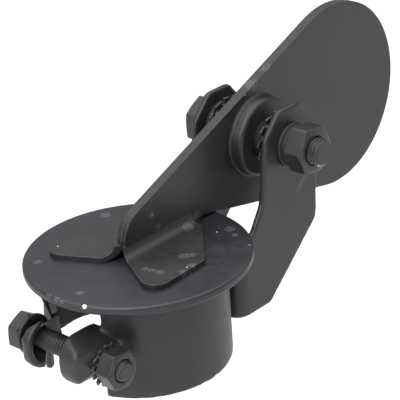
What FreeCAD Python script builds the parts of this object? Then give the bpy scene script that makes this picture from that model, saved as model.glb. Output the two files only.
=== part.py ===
import FreeCAD, Part
import math
import os

# Rain cap for an upright exhaust stack. A split collar clamps on the pipe, and a U-shaped hinge
# bracket is welded to its back. A flap of a round lid, two back-to-back arm leaves and the round
# counterweight paddle that the leaves form turns on a bolt through the bracket's cheeks.
# Origin: on the pipe axis at the collar's lower edge. +Z up, +X from the clamp to the hinge.
# "Left" is +Y, where the bolt heads are, and "right" is -Y, where the nuts are.

V = FreeCAD.Vector
OUT = "parts"
AXIS_Y = V(0, 1, 0)

# Driving dimensions, millimetres.
PIPE_DIAMETER = 44.5
PIPE_CLEARANCE = 0.15
COLLAR_SHEET = 2.0
COLLAR_HEIGHT = 29.3
LID_DIAMETER = 63.6
LID_SHEET = 2.5
LID_SEAT_GAP = 0.15
LEAF_SHEET = 1.5
PIVOT_X = 50.6
PIVOT_Z = 49.1
CHEEK_OUTER_Y = 13.9

# Ears of the clamp: hollow cups pressed out of the band's two ends, open towards the split.
# The left end of the band runs straight out of its curve before its cup starts.
EAR_NOSE_X = -36.5
EAR_BACK_X = -19.6
EAR_LOW_Z = 7.8
EAR_HIGH_Z = 22.2
EAR_CORNER = 6.6
EAR_CHAMFER = 4.0
INNER_OVERRUN = 2.5
EAR_TAPER = 4.2
RIGHT_RIM_Y = 3.5
RIGHT_CROWN_Y = 13.2
LEFT_RIM_Y = 7.5
LEFT_CROWN_Y = 14.0
LEFT_RIM_TURN_X = -31.0
LEFT_RIM_END_X = -25.5
LEFT_STEP_X = -22.2
LEFT_FLARE_ANGLE = 110.0
LEFT_FLARE_LENGTH = 15.1
LEFT_NOTCH_START_X = 22.0
LEFT_NOTCH_END_X = -17.5
LEFT_NOTCH_HEIGHT = 8.8
LEFT_LUG_HEIGHT = 7.0
RIGHT_END_ANGLE = 196.5
CLAMP_X = -28.2
CLAMP_Z = 14.8

# Fasteners: thread radius, width across flats, head height, nut height.
M6 = (3.0, 10.0, 4.0, 5.0)
M8 = (4.0, 13.0, 5.3, 6.0)
HOLE_PLAY = 0.2
NUT_BORE_PLAY = 0.03
TOOTH_COUNT = 14
CLAMP_BOLT_LENGTH = 35.8
CLAMP_HEAD_WASHER = (5.9, 1.2)
CLAMP_LOCK_WASHER = (6.4, 1.4)
PIVOT_BOLT_LENGTH = 41.2
PIVOT_HEAD_WASHER = (8.0, 1.0)
PIVOT_PLAIN_WASHER = (6.6, 1.3)
PIVOT_SPRING_WASHER = (6.3, 1.8)

# Hinge.
SLEEVE_RADIUS = 6.0
SLEEVE_BORE_RADIUS = 4.06
SLEEVE_HALF_LENGTH = 8.0
THRUST_WASHER = (8.0, 1.5)
HINGE_TOOTH_WASHER = (9.6, 1.8)

# Arm leaf, in the XZ plane.
PADDLE_X = 87.7
PADDLE_Z = 48.8
PADDLE_RADIUS = 28.5
TOP_EDGE_ANGLE = 21.5
LOWER_EDGE_ANGLE = -12.6
HEEL_X = -6.0
HEEL_RADIUS = 8.0
FOOT_REAR_X = 20.4
FOOT_BEND = 3.0
BOSS_RADIUS = 12.0
BOSS_TOP_RADIUS = 11.4
BOSS_HEIGHT = 3.9

# Derived.
COLLAR_BORE = PIPE_DIAMETER / 2 + PIPE_CLEARANCE
COLLAR_RADIUS = COLLAR_BORE + COLLAR_SHEET
LID_BOTTOM = COLLAR_HEIGHT + LID_SEAT_GAP
LID_TOP = LID_BOTTOM + LID_SHEET
CHEEK_INNER_Y = CHEEK_OUTER_Y - COLLAR_SHEET
BEND_Z = LID_TOP + LEAF_SHEET + FOOT_BEND
PIVOT = V(PIVOT_X, 0, PIVOT_Z)
CLAMP_AXIS = V(CLAMP_X, 0, CLAMP_Z)
SIDES = {"left": 1, "right": -1}


def write(name, shape):
    """Save one node as its own STEP file."""
    shape = shape.removeSplitter()
    print("%-26s %s solids %d volume %9.1f" % (name, shape.isValid(), len(shape.Solids), shape.Volume))
    shape.exportStep(os.path.join(OUT, name + ".step"))


def rod(radius, y_start, y_end, centre):
    """A cylinder along Y between two Y values, on the axis through centre."""
    low = min(y_start, y_end)
    return Part.makeCylinder(radius, abs(y_end - y_start), V(centre.x, low, centre.z), AXIS_Y)


def ring(radius, bore, y_start, y_end, centre):
    return rod(radius, y_start, y_end, centre).cut(rod(bore, y_start - 1, y_end + 1, centre))


def polygon(points):
    return Part.makePolygon(points + [points[0]])


def rounded_polygon(corners):
    """A closed wire through (point, radius) corners, each corner rounded by a tangent arc."""
    count = len(corners)
    edges = []
    previous_end = None
    first_start = None
    for index in range(count):
        point, radius = corners[index]
        back = (corners[index - 1][0] - point).normalize()
        ahead = (corners[(index + 1) % count][0] - point).normalize()
        start = point
        end = point
        if radius > 0:
            half = back.getAngle(ahead) / 2
            reach = radius / math.tan(half)
            start = point + back * reach
            end = point + ahead * reach
            middle_way = (back + ahead).normalize()
            middle = point + middle_way * (radius / math.sin(half) - radius)
        if previous_end is not None:
            edges.append(Part.LineSegment(previous_end, start).toShape())
        else:
            first_start = start
        if radius > 0:
            edges.append(Part.Arc(start, middle, end).toShape())
        previous_end = end
    edges.append(Part.LineSegment(previous_end, first_start).toShape())
    return Part.Wire(edges)


def extruded(wire, vector):
    return Part.Face(wire).extrude(vector)


def edges_in_plane(shape, y):
    """Edges that lie wholly at one Y value."""
    return [e for e in shape.Edges if all(abs(v.Y - y) < 1e-4 for v in e.Vertexes)
            and abs(e.valueAt((e.FirstParameter + e.LastParameter) / 2).y - y) < 1e-4]


def flat_polygon(points):
    """A closed wire in the XY plane."""
    return polygon([V(x, y, 0) for x, y in points])


def ear_cup(plan, rim_y, crown_y, inset):
    """A cup's outer or inner form: its plan, limited by its outlines seen along Y and along X."""
    low = EAR_LOW_Z + inset
    high = EAR_HIGH_Z - inset
    nose = EAR_NOSE_X + inset
    corner = EAR_CORNER - inset
    side_view = rounded_polygon([(V(nose, -30, low), corner), (V(-10, -30, low), 0),
                                 (V(-10, -30, high), 0), (V(nose, -30, high), corner)])
    reach = math.copysign(8, crown_y - rim_y)
    taper = EAR_TAPER * (reach + crown_y - rim_y) / (crown_y - rim_y)
    end_view = polygon([V(-50, rim_y, low), V(-50, crown_y + reach, low + taper),
                        V(-50, crown_y + reach, high - taper), V(-50, rim_y, high),
                        V(-50, rim_y - reach, high), V(-50, rim_y - reach, low)])
    form = extruded(flat_polygon(plan), V(0, 0, COLLAR_HEIGHT)).common(extruded(side_view, V(0, 60, 0)))
    return form.common(extruded(end_view, V(45, 0, 0)))


def right_ear(inset):
    nose = EAR_NOSE_X + inset
    crown = -RIGHT_CROWN_Y + inset
    cut = EAR_CHAMFER - inset * (2 - math.sqrt(2))
    rim = -RIGHT_RIM_Y
    back = EAR_BACK_X
    if inset > 0:
        rim += INNER_OVERRUN
        back += 3 * INNER_OVERRUN
    plan = [(nose, rim), (nose, crown + cut), (nose + cut, crown), (back, crown), (back, rim)]
    return ear_cup(plan, -RIGHT_RIM_Y, -RIGHT_CROWN_Y, inset)


def left_ear(inset):
    """The left cup; its rim slants back from the nose towards the band."""
    nose = EAR_NOSE_X + inset
    crown = LEFT_CROWN_Y - inset
    cut = EAR_CHAMFER - inset * (2 - math.sqrt(2))
    nose_side = [(nose, crown - cut), (nose + cut, crown)]
    if inset == 0:
        inside = LEFT_CROWN_Y - COLLAR_SHEET
        plan = [(nose, LEFT_RIM_Y)] + nose_side
        plan += [(LEFT_STEP_X, crown), (LEFT_STEP_X, 16.6), (EAR_BACK_X, 17.4), (EAR_BACK_X, inside),
                 (LEFT_RIM_END_X, inside), (LEFT_RIM_TURN_X, LEFT_RIM_Y)]
    else:
        rim = LEFT_RIM_Y - INNER_OVERRUN
        back = EAR_BACK_X + 3 * INNER_OVERRUN
        step = LEFT_STEP_X + inset
        plan = [(nose, rim)] + nose_side + [(step, crown), (step, 15.2), (back, 15.2), (back, rim)]
    return ear_cup(plan, LEFT_RIM_Y, LEFT_CROWN_Y, inset)


def clamp_collar():
    """The band, its two cups beside the split, and the bolt holes in their crowns.

    The band's left half is cut back along its lower edge, from the middle of the side to the cup."""
    start = math.radians(LEFT_FLARE_ANGLE)
    end = math.radians(RIGHT_END_ANGLE)
    far = 80.0
    gap = [(0, 0), (far * math.cos(start), far * math.sin(start)), (-far, far), (-far, 0),
           (far * math.cos(end), far * math.sin(end))]
    band = Part.makeCylinder(COLLAR_RADIUS, COLLAR_HEIGHT)
    band = band.cut(extruded(flat_polygon(gap), V(0, 0, COLLAR_HEIGHT + 1)))
    outer_start = (COLLAR_RADIUS * math.cos(start), COLLAR_RADIUS * math.sin(start))
    inner_start = (COLLAR_BORE * math.cos(start), COLLAR_BORE * math.sin(start))
    run = (-LEFT_FLARE_LENGTH * math.sin(start), LEFT_FLARE_LENGTH * math.cos(start))
    flare = [outer_start, (outer_start[0] + run[0], outer_start[1] + run[1]),
             (inner_start[0] + run[0], inner_start[1] + run[1]), inner_start]
    band = band.fuse(extruded(flat_polygon(flare), V(0, 0, COLLAR_HEIGHT)))
    notch = polygon([V(LEFT_NOTCH_START_X, 0, -1), V(LEFT_NOTCH_START_X, 0, 0),
                     V(LEFT_NOTCH_END_X, 0, LEFT_NOTCH_HEIGHT), V(EAR_BACK_X, 0, LEFT_LUG_HEIGHT),
                     V(EAR_BACK_X, 0, -1)])
    band = band.cut(extruded(notch, V(0, 40, 0)))
    band = band.fuse(right_ear(0)).fuse(left_ear(0))
    band = band.cut(right_ear(COLLAR_SHEET)).cut(left_ear(COLLAR_SHEET))
    bore = Part.makeCylinder(COLLAR_BORE, COLLAR_HEIGHT + 2, V(0, 0, -1))
    return band.cut(bore).cut(rod(M6[0] + HOLE_PLAY, -20, 20, CLAMP_AXIS))


def cheek_outline(lower_front, lower_rear):
    """One cheek seen from the side; the lower slanted edge runs between the two given corners."""
    web_x = COLLAR_RADIUS - 1
    return [((web_x, 3.1), 0), (lower_front, 1.5), (lower_rear, 4.0), ((63.0, 51.6), 3.0),
            ((55.3, 60.4), 2.5), ((46.3, 60.4), 4.0), ((39.8, 53.6), 4.0), ((37.2, 34.9), 6.0),
            ((32.3, 27.4), 2.0), ((web_x, 27.4), 0)]


def hinge_bracket():
    """A U of sheet: a web against the collar, rounded bends, and two cheeks up to the pivot."""
    bend = 4.5
    end_x = 70.0

    def channel(inset, radius):
        half = CHEEK_OUTER_Y - inset
        start = COLLAR_RADIUS + inset
        return rounded_polygon([(V(start, -half, 0), radius), (V(end_x, -half, 0), 0),
                                (V(end_x, half, 0), 0), (V(start, half, 0), radius)])

    height = 70.0
    shell = extruded(channel(0, bend), V(0, 0, height))
    shell = shell.cut(extruded(channel(COLLAR_SHEET, bend - COLLAR_SHEET), V(0, 0, height)))
    right = [(V(x, 0, z), radius) for (x, z), radius in cheek_outline((38.7, 3.1), (61.2, 22.1))]
    left = [(V(x, 0, z), radius) for (x, z), radius in cheek_outline((35.0, 3.1), (61.8, 29.9))]
    right_half = extruded(rounded_polygon(right), V(0, -20, 0))
    left_half = extruded(rounded_polygon(left), V(0, 20, 0))
    return shell.common(right_half.fuse(left_half)).cut(rod(M8[0] + HOLE_PLAY, -20, 20, PIVOT))


def bracket_weld(side):
    """A bead in the wedge between the collar and the flat web."""
    bead = Part.makeBox(4.0, 4.5, 20.0, V(COLLAR_RADIUS - 4.0, 4.5 if side > 0 else -9.0, 5.0))
    return bead.cut(Part.makeCylinder(COLLAR_RADIUS, COLLAR_HEIGHT))


def hex_prism(width, y_start, y_end, centre, turn):
    """A hexagonal prism along Y, its corners chamfered at both ends."""
    corner = width / math.sqrt(3)
    points = []
    for index in range(6):
        angle = math.radians(60 * index + turn)
        points.append(V(centre.x + corner * math.cos(angle), y_start, centre.z + corner * math.sin(angle)))
    prism = extruded(polygon(points), V(0, y_end - y_start, 0))
    chamfer = 0.045 * width
    low, high = sorted((y_start, y_end))
    turned = [V(0, low, 0), V(width / 2, low, 0), V(corner + 0.01, low + chamfer, 0),
              V(corner + 0.01, high - chamfer, 0), V(width / 2, high, 0), V(0, high, 0)]
    blank = Part.Face(polygon(turned)).revolve(V(0, 0, 0), AXIS_Y, 360)
    blank.translate(V(centre.x, 0, centre.z))
    return prism.common(blank)


def bolt(size, seat_y, length, centre, turn):
    """A hex bolt with its head at +Y and its shank running to -Y from seat_y."""
    thread_radius = size[0]
    width = size[1]
    head_height = size[2]
    head = hex_prism(width, seat_y, seat_y + head_height, centre, turn)
    shank = rod(thread_radius, seat_y - length, seat_y + 1, centre)
    tip = edges_in_plane(shank, seat_y - length)
    return head.fuse(shank.makeChamfer(0.17 * thread_radius, tip))


def nut(size, seat_y, centre, turn):
    """A hex nut that runs to -Y from seat_y."""
    width = size[1]
    end = seat_y - size[3]
    bore = rod(size[0] + NUT_BORE_PLAY, seat_y + 1, end - 1, centre)
    return hex_prism(width, seat_y, end, centre, turn).cut(bore)


def tooth_washer(radius, bore, y_start, y_end, centre):
    """A washer with square teeth round its rim."""
    washer = ring(radius, bore, min(y_start, y_end), max(y_start, y_end), centre)
    slot_width = 1.1
    slot_depth = 1.2
    for index in range(TOOTH_COUNT):
        slot = Part.makeBox(slot_depth + 1, 8.0, slot_width, V(radius - slot_depth, -4.0, -slot_width / 2))
        slot.rotate(V(0, 0, 0), AXIS_Y, 360 * index / TOOTH_COUNT)
        slot.translate(V(centre.x, (y_start + y_end) / 2, centre.z))
        washer = washer.cut(slot)
    return washer


def lid_disc():
    disc = Part.makeCylinder(LID_DIAMETER / 2, LID_SHEET, V(0, 0, LID_BOTTOM))
    rims = [e for e in disc.Edges if e.Closed and e.Curve.TypeId == "Part::GeomCircle"]
    return disc.makeFillet(0.7, rims)


def direction(degrees):
    return V(math.cos(math.radians(degrees)), 0, math.sin(math.radians(degrees)))


def leaf_outline():
    """The flat leaf: a rounded heel, a straight top edge, the round paddle, a straight lower edge."""
    paddle = V(PADDLE_X, 0, PADDLE_Z)
    top_touch = paddle + direction(TOP_EDGE_ANGLE + 90) * PADDLE_RADIUS
    low_touch = paddle + direction(LOWER_EDGE_ANGLE - 90) * PADDLE_RADIUS
    tip = paddle + V(PADDLE_RADIUS, 0, 0)
    top_way = direction(TOP_EDGE_ANGLE)
    corner = top_touch - top_way * ((top_touch.x - HEEL_X) / top_way.x)
    down = V(0, 0, -1)
    half = top_way.getAngle(down) / 2
    reach = HEEL_RADIUS / math.tan(half)
    heel_top = corner + top_way * reach
    heel_low = corner + down * reach
    heel_middle = corner + (top_way + down).normalize() * (HEEL_RADIUS / math.sin(half) - HEEL_RADIUS)
    low_way = direction(LOWER_EDGE_ANGLE)
    rear_low = low_touch - low_way * ((low_touch.x - FOOT_REAR_X) / low_way.x)
    heel_foot = V(HEEL_X, 0, BEND_Z)
    rear_foot = V(FOOT_REAR_X, 0, BEND_Z)
    shapes = [Part.LineSegment(heel_foot, heel_low), Part.Arc(heel_low, heel_middle, heel_top),
              Part.LineSegment(heel_top, top_touch), Part.Arc(top_touch, tip, low_touch),
              Part.LineSegment(low_touch, rear_low), Part.LineSegment(rear_low, rear_foot),
              Part.LineSegment(rear_foot, heel_foot)]
    return Part.Wire([shape.toShape() for shape in shapes])


def foot(side):
    """The bend and the flat tab of one leaf, cut to its plan outline."""
    outer_bend = FOOT_BEND + LEAF_SHEET
    tab_top = LID_TOP + LEAF_SHEET
    start_x = -25.0
    reach = 30.0
    diagonal = math.sqrt(0.5)
    inner_middle = V(start_x, outer_bend - FOOT_BEND * diagonal, BEND_Z - FOOT_BEND * diagonal)
    outer_middle = V(start_x, outer_bend - outer_bend * diagonal, BEND_Z - outer_bend * diagonal)
    inner_start = V(start_x, LEAF_SHEET, BEND_Z)
    inner_end = V(start_x, outer_bend, tab_top)
    outer_start = V(start_x, outer_bend, LID_TOP)
    outer_end = V(start_x, 0, BEND_Z)
    shapes = [Part.Arc(inner_start, inner_middle, inner_end),
              Part.LineSegment(inner_end, V(start_x, reach, tab_top)),
              Part.LineSegment(V(start_x, reach, tab_top), V(start_x, reach, LID_TOP)),
              Part.LineSegment(V(start_x, reach, LID_TOP), outer_start),
              Part.Arc(outer_start, outer_middle, outer_end),
              Part.LineSegment(outer_end, inner_start)]
    strip = extruded(Part.Wire([shape.toShape() for shape in shapes]), V(FOOT_REAR_X - start_x, 0, 0))
    if side > 0:
        heel_side = [((-10.2, 3.4), 3.0), ((-18.3, 21.0), 4.2)]
    else:
        heel_side = [((-17.4, 20.7), 4.2)]
    plan = [((HEEL_X, -1), 0), ((HEEL_X, 0.2), 0)] + heel_side
    plan += [((5.0, 20.2), 2.0), ((FOOT_REAR_X, 5.5), 2.0), ((FOOT_REAR_X, -1), 0)]
    corners = [(V(x, y, LID_TOP - 1), radius) for (x, y), radius in plan]
    shape = strip.common(extruded(rounded_polygon(corners), V(0, 0, 10)))
    if side < 0:
        shape = shape.mirror(V(0, 0, 0), AXIS_Y)
    return shape


def frustum(base_radius, top_radius, height, start_y, side, rounding):
    cone = Part.makeCone(base_radius, top_radius, height, V(PIVOT_X, start_y, PIVOT_Z), V(0, side, 0))
    return cone.makeFillet(rounding, edges_in_plane(cone, start_y + side * height))


def arm_leaf(side):
    """One pressing: foot, arm, boss at the pivot, and half of the paddle."""
    plate = extruded(leaf_outline(), V(0, side * LEAF_SHEET, 0))
    boss = frustum(BOSS_RADIUS, BOSS_TOP_RADIUS, BOSS_HEIGHT, side * LEAF_SHEET, side, 1.3)
    hollow = frustum(BOSS_RADIUS - LEAF_SHEET, BOSS_TOP_RADIUS - LEAF_SHEET, BOSS_HEIGHT, 0, side, 0.6)
    leaf = plate.fuse(boss).fuse(foot(side)).removeSplitter()
    base = [e for e in edges_in_plane(leaf, side * LEAF_SHEET) if e.Closed
            and abs(e.Length - 2 * math.pi * BOSS_RADIUS) < 0.1]
    leaf = leaf.makeFillet(0.8, base)
    return leaf.cut(hollow).cut(rod(SLEEVE_RADIUS + 0.02, -20, 20, PIVOT))


def clamp_fasteners():
    """The M6 bolt through the two ears, with its washers and nut."""
    shapes = {}
    bore = M6[0] + HOLE_PLAY
    head_radius, head_sheet = CLAMP_HEAD_WASHER
    head_seat = LEFT_CROWN_Y + head_sheet
    shapes["clamp_head_washer"] = ring(head_radius, bore, LEFT_CROWN_Y, head_seat, CLAMP_AXIS)
    shapes["clamp_bolt"] = bolt(M6, head_seat, CLAMP_BOLT_LENGTH, CLAMP_AXIS, 27)
    lock_radius, lock_sheet = CLAMP_LOCK_WASHER
    nut_seat = -RIGHT_CROWN_Y - lock_sheet
    shapes["clamp_lock_washer"] = tooth_washer(lock_radius, bore, -RIGHT_CROWN_Y, nut_seat, CLAMP_AXIS)
    shapes["clamp_nut"] = nut(M6, nut_seat, CLAMP_AXIS, 56)
    return shapes


def pivot_fasteners():
    """The M8 bolt through the two cheeks, with its washers and nut."""
    shapes = {}
    bore = M8[0] + HOLE_PLAY
    head_radius, head_sheet = PIVOT_HEAD_WASHER
    head_seat = CHEEK_OUTER_Y + head_sheet
    shapes["pivot_head_washer"] = ring(head_radius, bore, CHEEK_OUTER_Y, head_seat, PIVOT)
    shapes["pivot_bolt"] = bolt(M8, head_seat, PIVOT_BOLT_LENGTH, PIVOT, 30)
    plain_radius, plain_sheet = PIVOT_PLAIN_WASHER
    plain_end = -CHEEK_OUTER_Y - plain_sheet
    shapes["pivot_outer_washer"] = ring(plain_radius, bore, plain_end, -CHEEK_OUTER_Y, PIVOT)
    spring_radius, spring_sheet = PIVOT_SPRING_WASHER
    spring_end = plain_end - spring_sheet
    spring = ring(spring_radius, bore, spring_end, plain_end, PIVOT)
    split = Part.makeBox(spring_radius, 3 * spring_sheet, 0.7, V(PIVOT_X, spring_end - 1, PIVOT_Z))
    split.rotate(PIVOT, AXIS_Y, 300)
    shapes["pivot_lock_washer"] = spring.cut(split)
    shapes["pivot_nut"] = nut(M8, spring_end, PIVOT, 55)
    tooth_radius, tooth_sheet = HINGE_TOOTH_WASHER
    flat_radius, flat_sheet = THRUST_WASHER
    for name, side in SIDES.items():
        flat_start = CHEEK_INNER_Y - flat_sheet
        tooth_start = flat_start - tooth_sheet
        low, high = sorted((side * flat_start, side * CHEEK_INNER_Y))
        shapes["hinge_thrust_washer_" + name] = ring(flat_radius, bore, low, high, PIVOT)
        shapes["hinge_tooth_washer_" + name] = tooth_washer(tooth_radius, bore, side * tooth_start,
                                                            side * flat_start, PIVOT)
    return shapes


def main():
    os.makedirs(OUT, exist_ok=True)
    write("clamp_collar", clamp_collar())
    write("hinge_bracket", hinge_bracket())
    for name, side in SIDES.items():
        write("bracket_weld_" + name, bracket_weld(side))
        write("arm_leaf_" + name, arm_leaf(side))
    write("lid_disc", lid_disc())
    write("pivot_sleeve", ring(SLEEVE_RADIUS, SLEEVE_BORE_RADIUS, -SLEEVE_HALF_LENGTH,
                               SLEEVE_HALF_LENGTH, PIVOT))
    for shapes in (clamp_fasteners(), pivot_fasteners()):
        for name, shape in shapes.items():
            write(name, shape)


main()
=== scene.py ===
import bmesh
import bpy
import math
from mathutils import Matrix, Vector, noise


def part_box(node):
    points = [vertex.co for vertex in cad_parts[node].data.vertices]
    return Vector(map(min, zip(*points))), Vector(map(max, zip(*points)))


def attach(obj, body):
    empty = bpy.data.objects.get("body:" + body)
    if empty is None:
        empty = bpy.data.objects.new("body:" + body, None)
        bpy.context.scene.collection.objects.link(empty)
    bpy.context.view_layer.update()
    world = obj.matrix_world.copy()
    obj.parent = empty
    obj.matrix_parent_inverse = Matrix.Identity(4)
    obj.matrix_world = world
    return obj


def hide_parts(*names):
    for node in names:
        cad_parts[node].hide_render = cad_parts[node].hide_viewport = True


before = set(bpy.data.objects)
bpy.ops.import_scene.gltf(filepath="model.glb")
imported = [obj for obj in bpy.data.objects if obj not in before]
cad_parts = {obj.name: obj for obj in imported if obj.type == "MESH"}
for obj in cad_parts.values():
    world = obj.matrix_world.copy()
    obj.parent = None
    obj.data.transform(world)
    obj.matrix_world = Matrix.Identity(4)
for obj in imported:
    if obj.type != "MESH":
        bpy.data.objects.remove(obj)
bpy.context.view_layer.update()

# All lengths are metres. MM turns a workshop dimension into metres.
MM = 0.001

# Camera: where it looks from, in degrees and metres.
VIEW_AZIMUTH = -46.93
VIEW_ELEVATION = 25.15
VIEW_ROLL = 4.03
VIEW_DISTANCE = 0.497
VIEW_LENS = 157.0
VIEW_TARGET = Vector((0.035, 0.0, 0.0406))
TARGET_RIGHT = -0.00594
TARGET_UP = -0.00562

# Fasteners: thread radius, pitch, width across flats.
M6 = (3.0 * MM, 1.0 * MM, 10.0 * MM)
M8 = (4.0 * MM, 1.25 * MM, 13.0 * MM)
CLAMP_HEAD_TURN = 27.0
CLAMP_NUT_TURN = 56.0
PIVOT_HEAD_TURN = 30.0
PIVOT_NUT_TURN = 55.0

# Clamp ears: height at the rim, how much each side closes in at the crown and, further, at the
# nose, where the rim is across the split, and where an ear starts and joins the band along X.
EAR_HEIGHT = 14.4 * MM
EAR_TAPER = 4.2 * MM
EAR_SHOULDER = 1.6 * MM
EAR_RIM = 3.5 * MM
EAR_START = 20.8 * MM
EAR_JUNCTION = 21.5 * MM
CROWN_ROUNDING = 3.4 * MM
NOSE_ROUNDING = 6.0 * MM

# Washers: room around the bolt, teeth on a star washer, and where the spring washer is split.
HOLE_PLAY = 0.2 * MM
TOOTH_COUNT = 14
SPRING_SPLIT = 300.0

# The voxel size that the two sheet pieces are remeshed at before they are smoothed.
SHEET_VOXEL = 0.42 * MM

# Colours: paint on plain sheet, on a rubbed edge and on a scuff, which also lays painted
# highlight; bare zinc, which also lays painted glints; and painted shade inside the collar, a dark
# brown which covers everything nearer to the pipe's axis than its radius.
SHEET_COLOR = (0.0145, 0.0145, 0.0152)
RUBBED_COLOR = (0.11, 0.11, 0.113, 1.0)
SCUFF_AND_HIGHLIGHT_COLOR = (0.22, 0.22, 0.225, 1.0)
ZINC_AND_GLINT_COLOR = (0.78, 0.78, 0.8, 1.0)
INSIDE_SHADE_COLOR = (0.0065, 0.0055, 0.004, 1.0)
INSIDE_SHADE_RADIUS = 23.8 * MM

# Studio: the floor, the sky's strength with the heights between which it grows, and the lights
# as name, place, target, size and power.
FLOOR_DROP = 0.12
FLOOR_COLOR = (0.68, 0.68, 0.68, 1)
FLOOR_ROUGHNESS = 0.9
HORIZON_STRENGTH = 0.42
ZENITH_STRENGTH = 2.6
DOME_START = 0.45
DOME_END = 0.95
LIGHTS = (("key", (-0.45, -0.25, 0.75), (0.03, 0, 0.03), 0.3, 2.5),
          ("edge", (-0.62, 0.02, 0.34), (-0.02, 0, 0.03), 0.22, 2.0))


def middle(node):
    """The centre of a CAD node's box."""
    low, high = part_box(node)
    return (Vector(low) + Vector(high)) / 2


def make_camera():
    azimuth = math.radians(VIEW_AZIMUTH)
    elevation = math.radians(VIEW_ELEVATION)
    away = Vector((math.sin(azimuth) * math.cos(elevation),
                   -math.cos(azimuth) * math.cos(elevation),
                   math.sin(elevation)))
    right = (-away).cross(Vector((0, 0, 1))).normalized()
    up = right.cross(-away)
    target = VIEW_TARGET + right * TARGET_RIGHT + up * TARGET_UP
    roll = math.radians(VIEW_ROLL)
    rolled_right = right * math.cos(roll) - up * math.sin(roll)
    rolled_up = up * math.cos(roll) + right * math.sin(roll)
    data = bpy.data.cameras.new("camera")
    data.lens = VIEW_LENS
    camera = bpy.data.objects.new("camera", data)
    bpy.context.scene.collection.objects.link(camera)
    axes = Matrix((rolled_right, rolled_up, away)).transposed().to_4x4()
    camera.matrix_world = Matrix.Translation(target + away * VIEW_DISTANCE) @ axes
    bpy.context.scene.camera = camera


# ---------------------------------------------------------------- materials

class Graph:
    """Short names for building one material's node tree."""

    def __init__(self, name):
        self.material = bpy.data.materials.new(name)
        self.material.use_nodes = True
        self.tree = self.material.node_tree
        self.shader = self.tree.nodes["Principled BSDF"]
        self.place = self.tree.nodes.new("ShaderNodeTexCoord").outputs["Object"]

    def node(self, kind, **inputs):
        made = self.tree.nodes.new(kind)
        for key, value in inputs.items():
            self.put(made.inputs[key.replace("_", " ")], value)
        return made

    def put(self, socket, value):
        if isinstance(value, bpy.types.NodeSocket):
            self.tree.links.new(value, socket)
        else:
            socket.default_value = value

    def noise(self, scale, detail=2.0, roughness=0.5):
        return self.node("ShaderNodeTexNoise", Vector=self.place, Scale=scale, Detail=detail,
                         Roughness=roughness).outputs["Fac"]

    def math(self, operation, first, second=0.0):
        made = self.tree.nodes.new("ShaderNodeMath")
        made.operation = operation
        self.put(made.inputs[0], first)
        self.put(made.inputs[1], second)
        return made.outputs[0]

    def remap(self, value, low, high, new_low=0.0, new_high=1.0):
        made = self.node("ShaderNodeMapRange", Value=value)
        made.inputs["From Min"].default_value = low
        made.inputs["From Max"].default_value = high
        made.inputs["To Min"].default_value = new_low
        made.inputs["To Max"].default_value = new_high
        return made.outputs["Result"]

    def mix(self, factor, first, second):
        made = self.tree.nodes.new("ShaderNodeMix")
        made.data_type = "RGBA"
        self.put(made.inputs[0], factor)
        self.put(made.inputs[6], first)
        self.put(made.inputs[7], second)
        return made.outputs[2]

    def bump(self, height, strength, distance, normal=None):
        made = self.node("ShaderNodeBump", Height=height, Strength=strength, Distance=distance)
        if normal is not None:
            self.put(made.inputs["Normal"], normal)
        return made.outputs["Normal"]

    def axis_distance(self):
        """How far a point is from the Z axis."""
        flat = self.tree.nodes.new("ShaderNodeVectorMath")
        flat.operation = "MULTIPLY"
        self.put(flat.inputs[0], self.place)
        flat.inputs[1].default_value = (1, 1, 0)
        length = self.tree.nodes.new("ShaderNodeVectorMath")
        length.operation = "LENGTH"
        self.put(length.inputs[0], flat.outputs["Vector"])
        return length.outputs["Value"]

    def spots(self, points, wobble):
        """A mask of ragged spots at (x, y, z, radius), all in millimetres."""
        total = 0.0
        for x, y, z, radius in points:
            gap = self.tree.nodes.new("ShaderNodeVectorMath")
            gap.operation = "DISTANCE"
            self.put(gap.inputs[0], self.place)
            gap.inputs[1].default_value = (x * MM, y * MM, z * MM)
            edge = self.math("ADD", gap.outputs["Value"], wobble)
            spot = self.remap(edge, radius * MM * 1.15, radius * MM * 0.85)
            total = self.math("MAXIMUM", total, spot)
        return total


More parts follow.
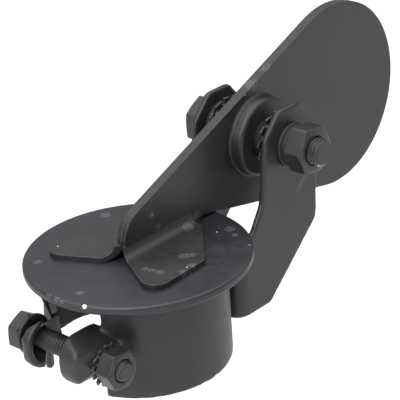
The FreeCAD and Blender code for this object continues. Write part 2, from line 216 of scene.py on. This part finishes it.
def painted(name, color, roughness, peel, edge_wear, chips_and_glints=(), scratches_and_highlights=(), inside_shade_radius=0.0):
    """Satin black paint: orange peel, uneven gloss, dust, rubbed edges, bare zinc where the paint
    is chipped, and painted glints and painted highlight at given spots.

    Everything nearer to the pipe's axis than inside_shade_radius is matt and dark brown: a brown
    stain darkened further as painted shade of the collar's hollow."""
    graph = Graph(name)
    shader = graph.shader
    clouds = graph.noise(70.0, 3.0)
    mottle = graph.noise(420.0, 4.0)
    grain = graph.noise(2600.0, 2.0)
    dark = [channel * 0.8 for channel in color] + [1.0]
    light = [channel * 1.25 for channel in color] + [1.0]
    tone = graph.remap(graph.math("ADD", clouds, graph.math("MULTIPLY", mottle, 0.6)), 0.62, 1.0)
    shade = graph.mix(tone, dark, light)
    dust = graph.remap(grain, 0.66, 0.78, 0.0, 0.35)
    shade = graph.mix(dust, shade, [channel * 2.2 for channel in color] + [1.0])

    rounded = graph.node("ShaderNodeBevel", Radius=0.35 * MM)
    rounded.samples = 6
    true_normal = graph.tree.nodes.new("ShaderNodeNewGeometry").outputs["True Normal"]
    along = graph.tree.nodes.new("ShaderNodeVectorMath")
    along.operation = "DOT_PRODUCT"
    graph.put(along.inputs[0], rounded.outputs["Normal"])
    graph.put(along.inputs[1], true_normal)
    bend = graph.remap(along.outputs["Value"], 0.995, 0.86)
    rubbed = graph.remap(graph.noise(900.0, 5.0, 0.65), 0.42, 0.62)
    edge = graph.math("MULTIPLY", graph.math("MULTIPLY", bend, rubbed), edge_wear)
    shade = graph.mix(edge, shade, RUBBED_COLOR)

    height = graph.math("ADD", graph.noise(750.0, 2.0), graph.math("MULTIPLY", grain, 0.25))
    rough = graph.remap(graph.math("ADD", clouds, graph.math("MULTIPLY", mottle, 0.5)), 0.5, 1.0,
                        roughness - 0.07, roughness + 0.09)
    if chips_and_glints or scratches_and_highlights:
        wobble = graph.math("MULTIPLY", graph.math("SUBTRACT", graph.noise(1500.0, 3.0), 0.5),
                            0.9 * MM)
    if scratches_and_highlights:
        # Lighter rubbed spots: scuffs, and painted highlight along the leaf's foot bend.
        scuff_and_highlight_mask = graph.math("MULTIPLY", graph.spots(scratches_and_highlights, wobble),
                           graph.remap(graph.noise(2300.0, 5.0, 0.7), 0.40, 0.68))
        shade = graph.mix(graph.math("MULTIPLY", scuff_and_highlight_mask, 0.5), shade, SCUFF_AND_HIGHLIGHT_COLOR)
    if chips_and_glints:
        # Bare zinc: chips, and painted glints on the pivot bolt's end and on the clamp's star
        # washer.
        chip_and_glint_mask = graph.spots(chips_and_glints, wobble)
        shade = graph.mix(chip_and_glint_mask, shade, ZINC_AND_GLINT_COLOR)
        height = graph.math("SUBTRACT", height, graph.math("MULTIPLY", chip_and_glint_mask, 1.5))
    if inside_shade_radius > 0:
        # Painted shade inside the collar: its hollow is made dark brown and matt, partly a brown
        # stain.
        inside_shade_mask = graph.remap(graph.axis_distance(), inside_shade_radius + 0.3 * MM, inside_shade_radius - 0.3 * MM)
        shade = graph.mix(inside_shade_mask, shade, INSIDE_SHADE_COLOR)
        rough = graph.math("ADD", rough, graph.math("MULTIPLY", inside_shade_mask, 0.4))
    graph.put(shader.inputs["Base Color"], shade)
    graph.put(shader.inputs["Roughness"], rough)
    graph.put(shader.inputs["Normal"],
              graph.bump(height, peel, 0.06 * MM, rounded.outputs["Normal"]))
    return graph.material


def make_materials():
    """One paint per kind of part.

    Chipped spots show bare zinc and rubbed spots are lighter, both as x, y, z and radius in
    millimetres. Some bare spots are painted glints and some rubbed spots are painted highlight."""
    lid_chips = [(-30.3, -9.3, 31.7, 0.62), (21.7, -9.9, 32.0, 0.16), (24.3, -18.3, 32.0, 0.14),
                 (20.7, -22.7, 32.0, 0.16), (-12.0, 14.0, 32.0, 0.12)]
    lid_scuffs = [(-26.0, -3.5, 32.0, 1.1), (-31.6, 2.6, 31.8, 0.8), (-31.7, -0.4, 31.7, 0.9),
                  (-31.6, -2.4, 31.5, 0.7), (25.2, -11.7, 32.0, 1.6), (23.0, -15.4, 32.0, 1.0),
                  (12.0, 24.0, 32.0, 1.4), (-20.0, 19.0, 32.0, 1.2)]
    leaf_chips = [(54.8, -1.4, 67.6, 0.45), (53.6, -1.4, 67.0, 0.3), (46.4, -1.4, 62.8, 0.28),
                  (-7.2, -19.7, 33.3, 0.26), (-1.1, -19.2, 33.4, 0.24), (5.2, -1.5, 41.6, 0.14),
                  (40.2, 1.5, 58.0, 0.3), (-12.0, 19.0, 33.4, 0.2)]
    # The two large spots near x 17 and 23 mm, where the leaf's foot bends, are painted highlight of
    # the bend.
    leaf_scuffs_and_highlights = [(-8.2, -10.5, 33.4, 1.0), (-7.6, -12.6, 33.4, 0.9), (-7.2, -15.0, 33.4, 1.1),
                   (3.4, -14.1, 33.4, 1.5), (5.2, -15.6, 33.4, 1.0), (0.6, -19.4, 33.3, 1.2),
                   (-3.6, -19.8, 33.2, 1.2), (5.2, -1.5, 41.6, 0.9), (7.1, -1.5, 37.2, 0.9),
                   (23.0, -2.6, 33.6, 2.4), (17.0, -3.4, 33.2, 1.8), (50.0, -0.8, 65.0, 2.0),
                   (57.0, -0.8, 68.0, 1.6), (90.0, 1.5, 60.0, 1.4), (70.0, 1.5, 40.0, 1.8)]
    cheek_scuffs = [(56.0, -13.9, 36.9, 1.0), (55.2, -13.9, 35.8, 1.0), (54.4, -13.9, 34.9, 0.9),
                    (53.4, -13.9, 34.0, 0.8), (52.6, -13.9, 33.6, 0.6), (45.0, 13.9, 20.0, 1.3)]
    # The three spots on the pivot bolt's end are painted glints, in bare zinc.
    bolt_glints_and_chips = [(49.4, -25.9, 45.1, 0.5), (50.8, -25.9, 45.1, 0.42), (48.2, -25.6, 45.8, 0.35),
                  (-30.8, 19.0, 16.3, 0.24)]
    # The three spots on the clamp's star washer are painted glints, in bare zinc.
    washer_glints_and_chips = [(-33.0, -14.6, 21.0, 0.5), (-31.6, -14.6, 21.6, 0.45),
                    (-34.4, -14.6, 19.6, 0.3), (44.0, -9.4, 56.0, 0.3), (43.0, -9.0, 54.0, 0.25)]
    return {
        "collar": painted("paint_collar", SHEET_COLOR, 0.44, 0.25, 0.35, inside_shade_radius=INSIDE_SHADE_RADIUS),
        "bracket": painted("paint_bracket", SHEET_COLOR, 0.44, 0.25, 0.35, scratches_and_highlights=cheek_scuffs),
        "leaf": painted("paint_leaf", SHEET_COLOR, 0.42, 0.22, 0.9, leaf_chips, leaf_scuffs_and_highlights),
        "lid": painted("paint_lid", (0.0125, 0.0138, 0.0172), 0.42, 0.3, 0.6, lid_chips,
                       lid_scuffs),
        "fastener": painted("paint_fastener", (0.015, 0.015, 0.0155), 0.38, 0.4, 0.8, bolt_glints_and_chips),
        "washer": painted("paint_washer", (0.013, 0.013, 0.0135), 0.40, 0.8, 0.9, washer_glints_and_chips),
        # The pivot's outer washer and spring washer are painted darker: painted shade between the
        # cheek and the nut.
        "shadow_washer": painted("paint_dark_washer", (0.008, 0.008, 0.0085), 0.5, 0.5, 0.15),
        "weld": painted("paint_weld", (0.014, 0.014, 0.0145), 0.42, 0.5, 0.3),
        "sleeve": painted("paint_sleeve", (0.009, 0.009, 0.0095), 0.46, 0.3, 0.3),
    }


# ---------------------------------------------------------------- meshes

def sharpen(mesh, degrees=32.0):
    """Smooth shading, except across edges sharper than the given angle."""
    limit = math.radians(degrees)
    work = bmesh.new()
    work.from_mesh(mesh)
    bmesh.ops.recalc_face_normals(work, faces=work.faces)
    for face in work.faces:
        face.smooth = True
    for edge in work.edges:
        edge.smooth = len(edge.link_faces) == 2 and edge.calc_face_angle() < limit
    work.to_mesh(mesh)
    work.free()


def add_piece(name, vertices, faces, material, body, slot, *nodes):
    """A mesh piece that rides on a body and stands for the given CAD nodes."""
    mesh = bpy.data.meshes.new(name)
    mesh.from_pydata(vertices, [], faces)
    sharpen(mesh)
    return register(name, mesh, material, body, slot, *nodes)


def register(name, mesh, material, body, slot, *nodes):
    piece = bpy.data.objects.new(name, mesh)
    bpy.context.scene.collection.objects.link(piece)
    mesh.materials.clear()
    mesh.materials.append(material)
    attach(piece, body)
    if nodes:
        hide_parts(*nodes)
    return piece


def turned(profile, centre, segments, closed):
    """Vertices and faces of a form turned about an axis along Y.

    profile(angle) gives (radius, y) rows. A closed profile makes a ring, and an open one is a
    solid that starts and ends on the axis."""
    vertices = []
    faces = []
    for index in range(segments):
        angle = 2 * math.pi * index / segments
        for radius, y in profile(angle):
            vertices.append((centre.x + radius * math.cos(angle), y,
                             centre.z + radius * math.sin(angle)))
    rows = len(vertices) // segments
    last = rows if closed else rows - 1
    for index in range(segments):
        this_start = index * rows
        next_start = ((index + 1) % segments) * rows
        for row in range(last):
            after = (row + 1) % rows
            faces.append((this_start + row, this_start + after,
                          next_start + after, next_start + row))
    if not closed:
        faces.append(tuple(index * rows for index in range(segments)))
        faces.append(tuple(index * rows + rows - 1 for index in range(segments)))
    return vertices, faces


def hex_radius(angle, width, turn):
    """Distance from the centre to a hexagon's side, with slightly blunted corners."""
    sector = math.pi / 3
    corner_angle = math.radians(turn)
    offset = (angle - corner_angle) % sector - sector / 2
    return min(width / 2 / math.cos(offset), width / math.sqrt(3) * 0.985)


def hex_rows(width, turn, angle, face_radius, y_start, y_end, slope):
    """Side rows of a hexagonal head or nut, chamfered by a cone at each end."""
    outer = hex_radius(angle, width, turn)
    drop = (outer - face_radius) * slope
    way = 1 if y_end > y_start else -1
    return [(face_radius, y_start), (outer, y_start + way * drop * 0.55),
            (outer, y_end - way * drop), (face_radius, y_end)]


def thread_rows(angle, radius, pitch, y_start, y_end, tip):
    """A helical V thread from y_start down to y_end, with its last turns cut back by a chamfer."""
    depth = 0.56 * pitch
    count = int(round(abs(y_end - y_start) / pitch * 6))
    rows = []
    for index in range(count + 1):
        y = y_start + (y_end - y_start) * index / count
        phase = (y / pitch - angle / (2 * math.pi)) % 1.0
        ridge = min(1.0, 1.35 * abs(2 * phase - 1))
        crest = radius - depth * (1 - ridge)
        limit = radius - max(0.0, tip - abs(y - y_end))
        rows.append((min(crest, limit), y))
    return rows


def bolt_piece(name, node, size, turn, seat_y, head_top, end_y, centre, material):
    radius, pitch, width = size
    face_radius = width / 2 * 0.94

    def profile(angle):
        head = hex_rows(width, turn, angle, face_radius, head_top, seat_y, 0.5)
        dish = [(0.0005 * MM, head_top - 0.12 * MM), (face_radius * 0.55, head_top - 0.12 * MM),
                (face_radius * 0.72, head_top)]
        return dish + head + [(radius * 0.98, seat_y)] + thread_rows(
            angle, radius, pitch, seat_y - 0.3 * MM, end_y, 0.8 * MM) + [(0.0005 * MM, end_y)]

    vertices, faces = turned(profile, centre, 96, False)
    return add_piece(name, vertices, faces, material, "clamp", "painted_fastener", node)


def nut_piece(name, node, size, turn, seat_y, end_y, centre, material):
    radius, _, width = size
    face_radius = width / 2 * 0.95

    def profile(angle):
        bore = radius + 0.04 * MM
        lead = radius + 0.45 * MM
        rows = hex_rows(width, turn, angle, face_radius, seat_y, end_y, 0.55)
        return rows + [(lead, end_y), (bore, end_y + 0.4 * MM), (bore, seat_y - 0.4 * MM),
                       (lead, seat_y)]

    vertices, faces = turned(profile, centre, 120, True)
    return add_piece(name, vertices, faces, material, "clamp", "painted_fastener", node)


def washer_piece(name, node, radius, bore, y_low, y_high, centre, material, lump=0.0):
    """A plain washer with rolled edges and a little paint build-up on its rim."""
    edge = min(0.3 * MM, (y_high - y_low) / 3)

    def profile(angle):
        swell = lump * noise.noise(Vector((math.cos(angle) * 6, y_low * 900, math.sin(angle) * 6)))
        rim = radius - lump + swell
        return [(bore, y_low + edge), (bore + edge, y_low), (rim - edge, y_low),
                (rim, y_low + edge), (rim, y_high - edge), (rim - edge, y_high),
                (bore + edge, y_high), (bore, y_high - edge)]

    vertices, faces = turned(profile, centre, 96, True)
    return add_piece(name, vertices, faces, material, "clamp", "painted_washer", node)


def tooth_piece(name, node, radius, bore, y_low, y_high, teeth, centre, material):
    """A star lock washer: its teeth are twisted out of plane and clogged with paint."""
    half = (y_high - y_low) / 2
    mid = (y_high + y_low) / 2
    depth = 1.5 * MM

    def profile(angle):
        phase = (angle * teeth / (2 * math.pi)) % 1.0
        tooth = min(1.0, max(0.0, (0.36 - abs(phase - 0.5)) / 0.1))
        crust = noise.noise(Vector((math.cos(angle) * 9, mid * 700, math.sin(angle) * 9)))
        rim = radius - 0.35 * MM - depth * (1 - tooth) + 0.35 * MM * crust
        twist = (phase - 0.5) * 2.0 * tooth * half * 0.55
        inner_half = half * 0.55
        outer_half = half * (0.42 + 0.12 * crust)
        root = radius - depth - 0.7 * MM
        shoulder = rim - 0.25 * MM
        return [(bore, mid - inner_half), (root, mid - inner_half),
                (shoulder, mid + twist - outer_half), (rim, mid + twist),
                (shoulder, mid + twist + outer_half), (root, mid + inner_half),
                (bore, mid + inner_half)]

    vertices, faces = turned(profile, centre, teeth * 16, True)
    return add_piece(name, vertices, faces, material, "clamp", "painted_washer", node)


def spring_piece(name, node, radius, bore, y_low, y_high, split, centre, material):
    """A split spring washer: one turn of square wire whose two ends stand apart."""
    segments = 90
    gap = math.radians(9)
    lift = (y_high - y_low) * 0.22
    thick = (y_high - y_low) - lift
    edge = 0.15 * MM
    vertices = []
    faces = []
    for index in range(segments + 1):
        share = index / segments
        angle = math.radians(split) + gap / 2 + (2 * math.pi - gap) * share
        base = y_low + lift * share
        section = [(bore, base + edge), (bore + edge, base), (radius - edge, base),
                   (radius, base + edge), (radius, base + thick - edge),
                   (radius - edge, base + thick), (bore + edge, base + thick),
                   (bore, base + thick - edge)]
        for distance, y in section:
            x = centre.x + distance * math.cos(angle)
            z = centre.z + distance * math.sin(angle)
            vertices.append((x, y, z))
    rows = 8
    for index in range(segments):
        for row in range(rows):
            after = (row + 1) % rows
            start = index * rows
            faces.append((start + row, start + after, start + rows + after, start + rows + row))
    faces.append(tuple(range(rows)))
    faces.append(tuple(segments * rows + row for row in range(rows)))
    return add_piece(name, vertices, faces, material, "clamp", "painted_washer", node)


def weld_piece(node, material):
    """A bead laid upwards in short steps, so its face is a row of overlapping scallops."""
    low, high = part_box(node)
    side = 1 if low[1] > 0 else -1
    inner_y = side * min(abs(low[1]), abs(high[1]))
    reach_y = abs(high[1] - low[1])
    back_x = high[0]
    depth_x = high[0] - low[0]
    rows = 120
    columns = 14
    steps = 11
    vertices = []
    faces = []
    for row in range(rows + 1):
        share = row / rows
        z = low[2] + (high[2] - low[2]) * share
        end_fade = math.sqrt(max(0.0, 1 - (2 * share - 1) ** 8))
        for column in range(columns + 1):
            across = column / columns
            arch = math.sin(math.pi * across) ** 0.6
            ripple = (share * steps + 0.35 * arch) % 1.0
            lump = 0.82 + 0.18 * math.sin(math.pi * ripple)
            wander = 0.06 * noise.noise(Vector((share * 9, across * 2, side * 3)))
            y = inner_y + side * reach_y * min(
                1.0, (0.12 + 0.86 * across) * end_fade + wander * arch)
            x = back_x - depth_x * 0.5 - depth_x * 0.45 * arch * lump * end_fade
            vertices.append((x, y, z))
        for share_across in (0.98, 0.1):
            vertices.append((back_x, inner_y + side * reach_y * share_across * end_fade, z))
    width = columns + 3
    for row in range(rows):
        for column in range(width):
            after = (column + 1) % width
            start = row * width
            faces.append((start + column, start + after,
                          start + width + after, start + width + column))
    faces.append(tuple(range(width)))
    faces.append(tuple(rows * width + column for column in range(width)))
    return add_piece("bead_" + node, vertices, faces, material, "clamp", "painted_weld", node)


# ---------------------------------------------------------------- clamp collar

def remeshed(node, voxel):
    """A dense copy of a CAD node's mesh, with even faces."""
    copy = bpy.data.objects.new("remesh_source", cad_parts[node].data.copy())
    bpy.context.scene.collection.objects.link(copy)
    weld = copy.modifiers.new("weld", "WELD")
    weld.merge_threshold = 0.002 * MM
    remesh = copy.modifiers.new("remesh", "REMESH")
    remesh.mode = "VOXEL"
    remesh.voxel_size = voxel
    mesh = bpy.data.meshes.new_from_object(
        copy.evaluated_get(bpy.context.evaluated_depsgraph_get()))
    bpy.data.objects.remove(copy)
    return mesh


def round_corner(first, second, first_limit, second_limit, radius):
    """Pull a point back onto an outside corner's arc; both values grow outwards."""
    reach_first = first - (first_limit - radius)
    reach_second = second - (second_limit - radius)
    if reach_first <= 0 or reach_second <= 0:
        return first, second
    distance = math.hypot(reach_first, reach_second)
    if distance <= radius:
        return first, second
    scale = radius / distance
    return first_limit - radius + reach_first * scale, second_limit - radius + reach_second * scale


def smooth(mesh, weights, passes):
    """Laplacian smoothing, each vertex by its own weight from 0 to 1."""
    work = bmesh.new()
    work.from_mesh(mesh)
    work.verts.ensure_lookup_table()
    neighbours = [[edge.other_vert(vertex).index for edge in vertex.link_edges]
                  for vertex in work.verts]
    places = [vertex.co.copy() for vertex in work.verts]
    for _ in range(passes):
        moved = list(places)
        for index, near in enumerate(neighbours):
            weight = weights[index]
            if weight > 0 and near:
                total = Vector()
                for other in near:
                    total += places[other]
                moved[index] = places[index].lerp(total / len(near), 0.5 * weight)
        places = moved
    for vertex, place in zip(work.verts, places):
        vertex.co = place
    work.to_mesh(mesh)
    work.free()


def collar_piece(material):
    """The pressed collar: the CAD form with drawn, rounded ears and soft sheet edges."""
    mesh = remeshed("clamp_collar", SHEET_VOXEL)
    nose = -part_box("clamp_collar")[0][0]
    left_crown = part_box("clamp_head_washer")[0][1]
    right_crown = -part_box("clamp_lock_washer")[1][1]
    ear_middle = middle("clamp_nut").z
    ear_half = EAR_HEIGHT / 2
    weights = []
    for vertex in mesh.vertices:
        x, y, z = vertex.co
        crown = left_crown if y > 0 else right_crown
        depth = min(1.0, max(0.0, (abs(y) - EAR_RIM) / (crown - EAR_RIM)))
        half = ear_half - EAR_TAPER * depth
        if -x > EAR_START and abs(z - ear_middle) < ear_half + 0.3 * MM and abs(y) > EAR_RIM:
            side = 1 if y > 0 else -1
            up = 1 if z > ear_middle else -1
            half -= EAR_SHOULDER * depth * ((-x - EAR_START) / (nose - EAR_START)) ** 2
            out, height = round_corner(abs(y), abs(z - ear_middle), crown, half, CROWN_ROUNDING)
            forward, out = round_corner(-x, out, nose, crown, NOSE_ROUNDING)
            vertex.co = (-forward, side * out, ear_middle + up * height)
        closeness = math.exp(-((-x - EAR_JUNCTION) / (2.6 * MM)) ** 2)
        beside = math.exp(-((abs(z - ear_middle) - ear_half) / (3.0 * MM)) ** 2)
        weights.append(min(1.0, 0.12 + 0.9 * closeness * beside))
    smooth(mesh, [1.0] * len(weights), 4)
    smooth(mesh, weights, 26)
    for polygon in mesh.polygons:
        polygon.use_smooth = True
    return register("collar_sheet", mesh, material, "clamp", "painted_sheet", "clamp_collar")


def bracket_piece(material):
    """The bracket with the rolled, paint-softened edges of blanked sheet."""
    mesh = remeshed("hinge_bracket", SHEET_VOXEL)
    smooth(mesh, [1.0] * len(mesh.vertices), 9)
    for polygon in mesh.polygons:
        polygon.use_smooth = True
    return register("bracket_sheet", mesh, material, "clamp", "painted_sheet", "hinge_bracket")


# ---------------------------------------------------------------- assembly

def fastener_pieces(materials):
    clamp_centre = middle("clamp_nut")
    pivot_centre = middle("pivot_sleeve")
    steel = materials["fastener"]
    crust = materials["washer"]
    shaded = materials["shadow_washer"]
    for name, node, size, turn, centre in (
            ("clamp_screw", "clamp_bolt", M6, CLAMP_HEAD_TURN, clamp_centre),
            ("pivot_screw", "pivot_bolt", M8, PIVOT_HEAD_TURN, pivot_centre)):
        low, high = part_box(node)
        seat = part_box(node.replace("bolt", "head_washer"))[1][1]
        bolt_piece(name, node, size, turn, seat, high[1], low[1], centre, steel)
    for name, node, size, turn, centre in (
            ("clamp_hex_nut", "clamp_nut", M6, CLAMP_NUT_TURN, clamp_centre),
            ("pivot_hex_nut", "pivot_nut", M8, PIVOT_NUT_TURN, pivot_centre)):
        low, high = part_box(node)
        nut_piece(name, node, size, turn, high[1], low[1], centre, steel)
    plain = (("clamp_head_washer", M6, clamp_centre, crust),
             ("pivot_head_washer", M8, pivot_centre, crust),
             ("pivot_outer_washer", M8, pivot_centre, shaded),
             ("hinge_thrust_washer_left", M8, pivot_centre, crust),
             ("hinge_thrust_washer_right", M8, pivot_centre, crust))
    for node, size, centre, material in plain:
        low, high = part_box(node)
        washer_piece("rolled_" + node, node, (high[0] - low[0]) / 2, size[0] + HOLE_PLAY,
                     low[1], high[1], centre, material, lump=0.12 * MM)
    toothed = (("clamp_lock_washer", M6, clamp_centre),
               ("hinge_tooth_washer_left", M8, pivot_centre),
               ("hinge_tooth_washer_right", M8, pivot_centre))
    for node, size, centre in toothed:
        low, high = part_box(node)
        tooth_piece("star_" + node, node, (high[0] - low[0]) / 2, size[0] + HOLE_PLAY,
                    low[1], high[1], TOOTH_COUNT, centre, crust)
    low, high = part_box("pivot_lock_washer")
    spring_piece("spring_washer", "pivot_lock_washer", (high[0] - low[0]) / 2,
                 M8[0] + HOLE_PLAY, low[1], high[1], SPRING_SPLIT, pivot_centre, shaded)


def dress_cad(materials):
    """Give the CAD nodes that stay visible their paint."""
    paints = {"lid_disc": "lid", "arm_leaf_left": "leaf", "arm_leaf_right": "leaf",
              "pivot_sleeve": "sleeve"}
    for node, paint in paints.items():
        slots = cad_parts[node].data.materials
        slots.clear()
        slots.append(materials[paint])


# ---------------------------------------------------------------- studio

def area_light(name, place, target, size, power):
    data = bpy.data.lights.new(name, "AREA")
    data.shape = "DISK"
    data.size = size
    data.energy = power
    lamp = bpy.data.objects.new(name, data)
    bpy.context.scene.collection.objects.link(lamp)
    lamp.location = place
    lamp.rotation_euler = (Vector(target) - Vector(place)).to_track_quat("-Z", "Y").to_euler()


def studio():
    bpy.context.scene.view_settings.view_transform = "Standard"
    bpy.ops.mesh.primitive_plane_add(size=6, location=(0, 0, -FLOOR_DROP))
    floor = bpy.context.object
    floor.name = "floor"
    material = bpy.data.materials.new("floor")
    material.use_nodes = True
    shader = material.node_tree.nodes["Principled BSDF"]
    shader.inputs["Base Color"].default_value = FLOOR_COLOR
    shader.inputs["Roughness"].default_value = FLOOR_ROUGHNESS
    floor.data.materials.append(material)
    world = bpy.data.worlds.new("world")
    bpy.context.scene.world = world
    world.use_nodes = True
    tree = world.node_tree
    background = tree.nodes["Background"]
    background.inputs["Color"].default_value = (1, 1, 1, 1)
    direction = tree.nodes.new("ShaderNodeTexCoord").outputs["Generated"]
    split = tree.nodes.new("ShaderNodeSeparateXYZ")
    tree.links.new(direction, split.inputs[0])
    dome = tree.nodes.new("ShaderNodeMapRange")
    dome.interpolation_type = "SMOOTHSTEP"
    dome.inputs["From Min"].default_value = DOME_START
    dome.inputs["From Max"].default_value = DOME_END
    dome.inputs["To Min"].default_value = HORIZON_STRENGTH
    dome.inputs["To Max"].default_value = ZENITH_STRENGTH
    tree.links.new(split.outputs["Z"], dome.inputs["Value"])
    tree.links.new(dome.outputs["Result"], background.inputs["Strength"])
    for light in LIGHTS:
        area_light(*light)


make_camera()
paints = make_materials()
dress_cad(paints)
fastener_pieces(paints)
for weld_node in ("bracket_weld_left", "bracket_weld_right"):
    weld_piece(weld_node, paints["weld"])
collar_piece(paints["collar"])
bracket_piece(paints["bracket"])
studio()
